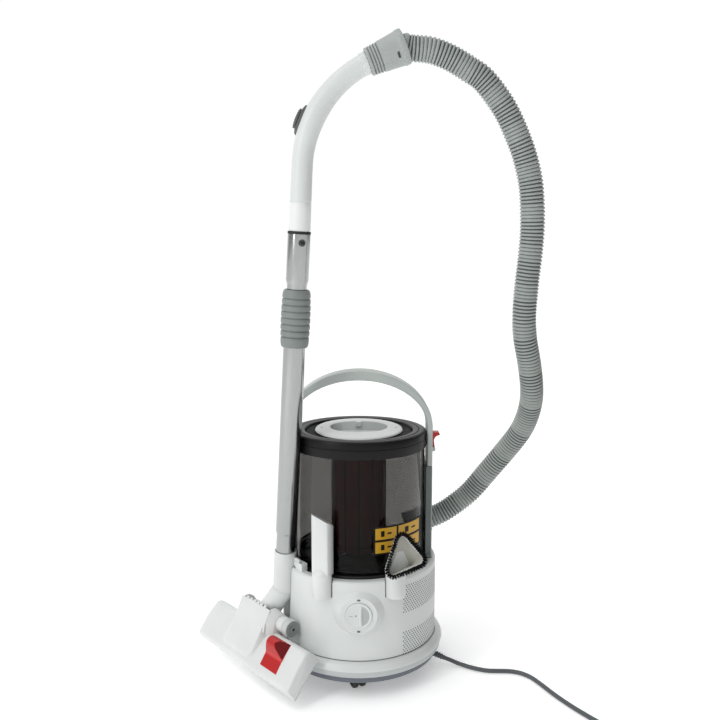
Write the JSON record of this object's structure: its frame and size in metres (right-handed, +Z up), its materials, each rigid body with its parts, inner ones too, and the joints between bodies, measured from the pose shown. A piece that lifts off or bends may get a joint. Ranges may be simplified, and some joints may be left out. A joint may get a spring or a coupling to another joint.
{
  "type": "canister vacuum cleaner",
  "caption": "Upright drum canister vacuum cleaner with smoked dust bin, parked telescopic wand, corrugated hose and floor head.",
  "frame": {"origin": "on the floor, under the axis of the round canister", "axes": "+Z up along the canister axis, -Y towards the dial at the front, +X towards the hose side"},
  "size_m": [0.7054, 0.5528, 1.0257],
  "materials": {
    "white_shell": "satin",
    "base_dark": "satin",
    "arm_grey": "satin",
    "handle_grey": "satin",
    "red": "gloss",
    "dial_grey": "satin",
    "black": "satin",
    "lid_black": "satin",
    "board": "satin",
    "smoked": "gloss",
    "steel_pin": "satin",
    "tube_metal": "brushed",
    "motor_metal": "satin",
    "copper": "satin",
    "rubber": "matte",
    "filter_red": "matte",
    "filter_grey": "matte",
    "cage": "satin",
    "cord_grey": "satin",
    "hose_grey": "satin",
    "collar_grey": "satin",
    "connector_grey": "satin",
    "slider_grey": "satin",
    "bristle": "matte",
    "wheel_grey": "satin",
    "wheel_black": "satin",
    "sole_grey": "satin"
  },
  "bodies": {
    "canister": {"base_plate": "base_dark", "base_ring": "white_shell", "body_shell": "white_shell", "side_arms": "arm_grey", "handle_pins": "steel_pin", "rotary_switch": "black", "circuit_board": "board", "bin": "smoked", "bin_base": "black", "inlet_port": "black", "lid_ring": "lid_black", "motor_can": "motor_metal", "fan_cover": "motor_metal", "motor_mounts": "rubber", "exhaust_filter": "filter_grey", "park_bracket": "white_shell", "strain_relief": "cord_grey", "mains_cord": "cord_grey", "cord_coil": "cord_grey", "mains_plug": "cord_grey", "hose": "hose_grey", "port_cuff": "collar_grey", "lower_tube": "tube_metal", "tube_guide": "black", "nozzle_neck": "white_shell"},
    "handle": {"carry_handle": "handle_grey"},
    "latch_left": {"latch_left": "red"},
    "latch_right": {"latch_right": "red"},
    "dial": {"dial": "dial_grey"},
    "filter": {"filter_cap": "black", "filter_grip": "white_shell", "filter_cage": "cage", "filter_core": "filter_red"},
    "rotor": {"motor_rotor": "copper", "impeller": "dial_grey"},
    "crevice_tool": {"crevice_tool": "white_shell"},
    "dusting_brush": {"dusting_brush": "white_shell", "brush_bristles": "bristle"},
    "wand_top": {"inner_tube": "tube_metal", "tube_seal": "rubber", "grip": "white_shell"},
    "lock_button": {"lock_button": "black"},
    "suction_slider": {"suction_slider": "slider_grey"},
    "hose_connector": {"hose_connector": "connector_grey"},
    "lock_collar": {"lock_collar": "collar_grey"},
    "elbow": {"nozzle_elbow": "white_shell"},
    "head": {"head_cover": "white_shell", "head_sole": "sole_grey", "pivot_axle": "steel_pin"},
    "head_wheels": {"head_wheels": "wheel_grey"},
    "pedal": {"pedal": "red"},
    "bristle_strip": {"bristle_strip": "bristle"},
    "caster_front": {"caster_fork_front": "black"},
    "wheels_front": {"caster_wheels_front": "wheel_black"},
    "caster_right": {"caster_fork_right": "black"},
    "wheels_right": {"caster_wheels_right": "wheel_black"},
    "caster_back": {"caster_fork_back": "black"},
    "wheels_back": {"caster_wheels_back": "wheel_black"},
    "caster_left": {"caster_fork_left": "black"},
    "wheels_left": {"caster_wheels_left": "wheel_black"}
  },
  "joints": [
    {"name": "handle_fold", "type": "hinge", "parent": "canister", "child": "handle", "pos_m": [0, 0.027, 0.348], "axis": [-1, 0, 0], "range_deg": [0, 90]},
    {"name": "latch_right_swing", "type": "hinge", "parent": "handle", "child": "latch_right", "pos_m": [0.127, 0, 0.375], "axis": [0, 1, 0], "range_deg": [0, 18], "stiffness_Nm_per_rad": 0.02},
    {"name": "latch_left_swing", "type": "hinge", "parent": "handle", "child": "latch_left", "pos_m": [-0.127, 0, 0.375], "axis": [0, -1, 0], "range_deg": [0, 18], "stiffness_Nm_per_rad": 0.02},
    {"name": "dial_turn", "type": "hinge", "parent": "canister", "child": "dial", "pos_m": [0, -0.141, 0.14], "axis": [0, -1, 0], "range_deg": [0, 180]},
    {"name": "filter_turn", "type": "hinge", "parent": "canister", "child": "filter", "pos_m": [0, 0, 0.4], "axis": [0, 0, 1], "range_deg": [0, 40]},
    {"name": "rotor_spin", "type": "hinge", "parent": "canister", "child": "rotor", "pos_m": [0, 0, 0.1], "axis": [0, 0, 1], "continuous": true},
    {"name": "caster_swivel_front", "type": "hinge", "parent": "canister", "child": "caster_front", "pos_m": [0, -0.103, 0.03], "axis": [0, 0, 1], "continuous": true},
    {"name": "wheel_roll_front", "type": "hinge", "parent": "caster_front", "child": "wheels_front", "pos_m": [-0.00211, -0.09847, 0.014], "axis": [0.9063, 0.4226, 0], "continuous": true},
    {"name": "caster_swivel_right", "type": "hinge", "parent": "canister", "child": "caster_right", "pos_m": [0.103, 0, 0.03], "axis": [0, 0, 1], "continuous": true},
    {"name": "wheel_roll_right", "type": "hinge", "parent": "caster_right", "child": "wheels_right", "pos_m": [0.1055, -0.00433, 0.014], "axis": [-0.866, -0.5, 0], "continuous": true},
    {"name": "caster_swivel_back", "type": "hinge", "parent": "canister", "child": "caster_back", "pos_m": [0, 0.103, 0.03], "axis": [0, 0, 1], "continuous": true},
    {"name": "wheel_roll_back", "type": "hinge", "parent": "caster_back", "child": "wheels_back", "pos_m": [-0.00171, 0.1077, 0.014], "axis": [0.9397, 0.342, 0], "continuous": true},
    {"name": "caster_swivel_left", "type": "hinge", "parent": "canister", "child": "caster_left", "pos_m": [-0.103, 0, 0.03], "axis": [0, 0, 1], "continuous": true},
    {"name": "wheel_roll_left", "type": "hinge", "parent": "caster_left", "child": "wheels_left", "pos_m": [-0.1005, -0.00433, 0.014], "axis": [-0.866, -0.5, 0], "continuous": true},
    {"name": "crevice_lift", "type": "slide", "parent": "canister", "child": "crevice_tool", "axis": [0, 0, 1], "range_m": [0, 0.12]},
    {"name": "brush_lift", "type": "slide", "parent": "canister", "child": "dusting_brush", "axis": [0, 0, 1], "range_m": [0, 0.1]},
    {"name": "wand_extend", "type": "slide", "parent": "canister", "child": "wand_top", "axis": [0.0583, -0.0671, 0.996], "range_m": [0, 0.28], "deforming": ["hose"]},
    {"name": "button_press", "type": "slide", "parent": "wand_top", "child": "lock_button", "axis": [-0.3559, 0.9308, 0.0835], "range_m": [0, 0.002], "stiffness_N_per_m": 400},
    {"name": "slider_move", "type": "slide", "parent": "wand_top", "child": "suction_slider", "axis": [0.3962, -0.0624, 0.916], "range_m": [-0.006, 0.006]},
    {"name": "connector_swivel", "type": "hinge", "parent": "wand_top", "child": "hose_connector", "pos_m": [0.02042, -0.11077, 0.98153], "axis": [0.9228, -0.0276, 0.3842], "continuous": true},
    {"name": "collar_slide", "type": "slide", "parent": "canister", "child": "lock_collar", "axis": [0.0583, -0.0671, 0.996], "range_m": [-0.008, 0]},
    {"name": "elbow_swivel", "type": "hinge", "parent": "canister", "child": "elbow", "pos_m": [-0.1251, -0.0545, 0.1489], "axis": [-0.3088, 0.0955, -0.9463], "range_deg": [-1.5, 10]},
    {"name": "head_tilt", "type": "hinge", "parent": "elbow", "child": "head", "pos_m": [-0.15694, -0.04755, 0.09963], "axis": [0.6691, -0.7431, 0], "range_deg": [0, 12]},
    {"name": "head_wheel_roll", "type": "hinge", "parent": "head", "child": "head_wheels", "pos_m": [-0.15694, -0.04755, 0.09963], "axis": [0.6691, -0.7431, 0], "continuous": true},
    {"name": "pedal_rock", "type": "hinge", "parent": "head", "child": "pedal", "pos_m": [-0.17684, -0.06426, 0.06152], "axis": [0.6691, -0.7431, 0], "range_deg": [-3, 3]},
    {"name": "bristle_drop", "type": "slide", "parent": "head", "child": "bristle_strip", "axis": [0.5609, 0.505, -0.6561], "range_m": [-0.0022, 0.0022]}
  ],
  "couplings": [
    {"joint": "bristle_drop", "follows": "pedal_rock", "m_per_rad": 0.04}
  ]
}
